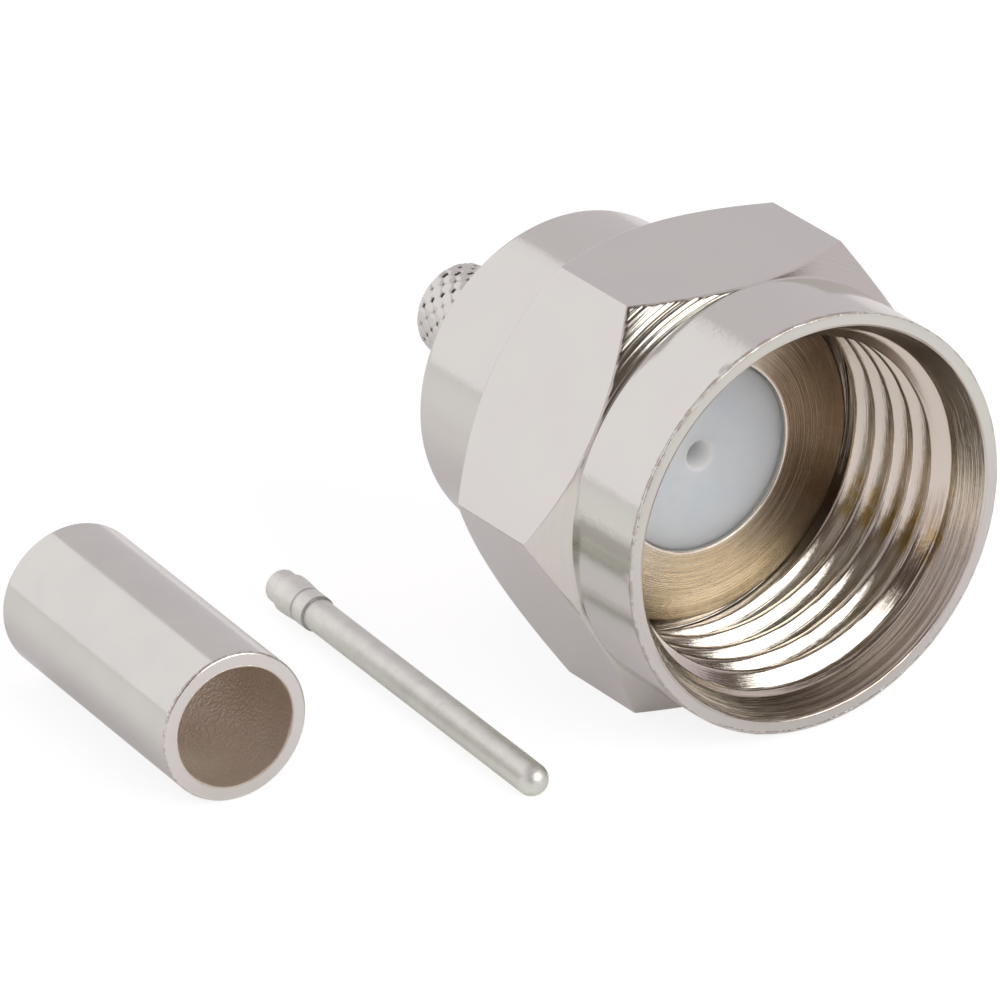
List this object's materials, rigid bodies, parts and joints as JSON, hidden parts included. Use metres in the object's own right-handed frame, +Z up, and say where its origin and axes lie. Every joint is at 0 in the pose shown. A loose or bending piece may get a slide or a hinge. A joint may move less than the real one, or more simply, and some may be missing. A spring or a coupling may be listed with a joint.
{
  "type": "f connector",
  "caption": "straight threaded coaxial crimp plug with a hexagonal coupling nut that turns on its body, white insulator, loose contact pin and loose crimp ferrule beside it",
  "frame": {"origin": "centre of the body's front face, the plane the mating jack butts against, on the plug's axis", "axes": "-Y looks out of the nut's mouth toward the mating jack, +Z is up, +X is to the right seen from the mouth side; the surface the plug lies on is at z = -5.5 mm"},
  "size_m": [0.0218, 0.0156, 0.011],
  "materials": {
    "nut_nickel": "nickel plated brass, bright turned",
    "body_nickel": "nickel plated brass, fine turning marks",
    "spring_steel": "plain spring wire",
    "white_insulator": "satin white fluoropolymer",
    "pin_silver": "matt silver plated brass",
    "ferrule_nickel": "nickel plated, matt bore"
  },
  "bodies": {
    "plug": {"connector_body": "body_nickel", "snap_ring": "spring_steel", "insulator": "white_insulator", "contact_pin": "pin_silver", "crimp_ferrule": "ferrule_nickel"},
    "nut": {"coupling_nut": "nut_nickel"}
  },
  "joints": [
    {"name": "nut_turn", "type": "hinge", "parent": "plug", "child": "nut", "pos_m": [0, 0, 0], "axis": [0, -1, 0], "continuous": true}
  ]
}
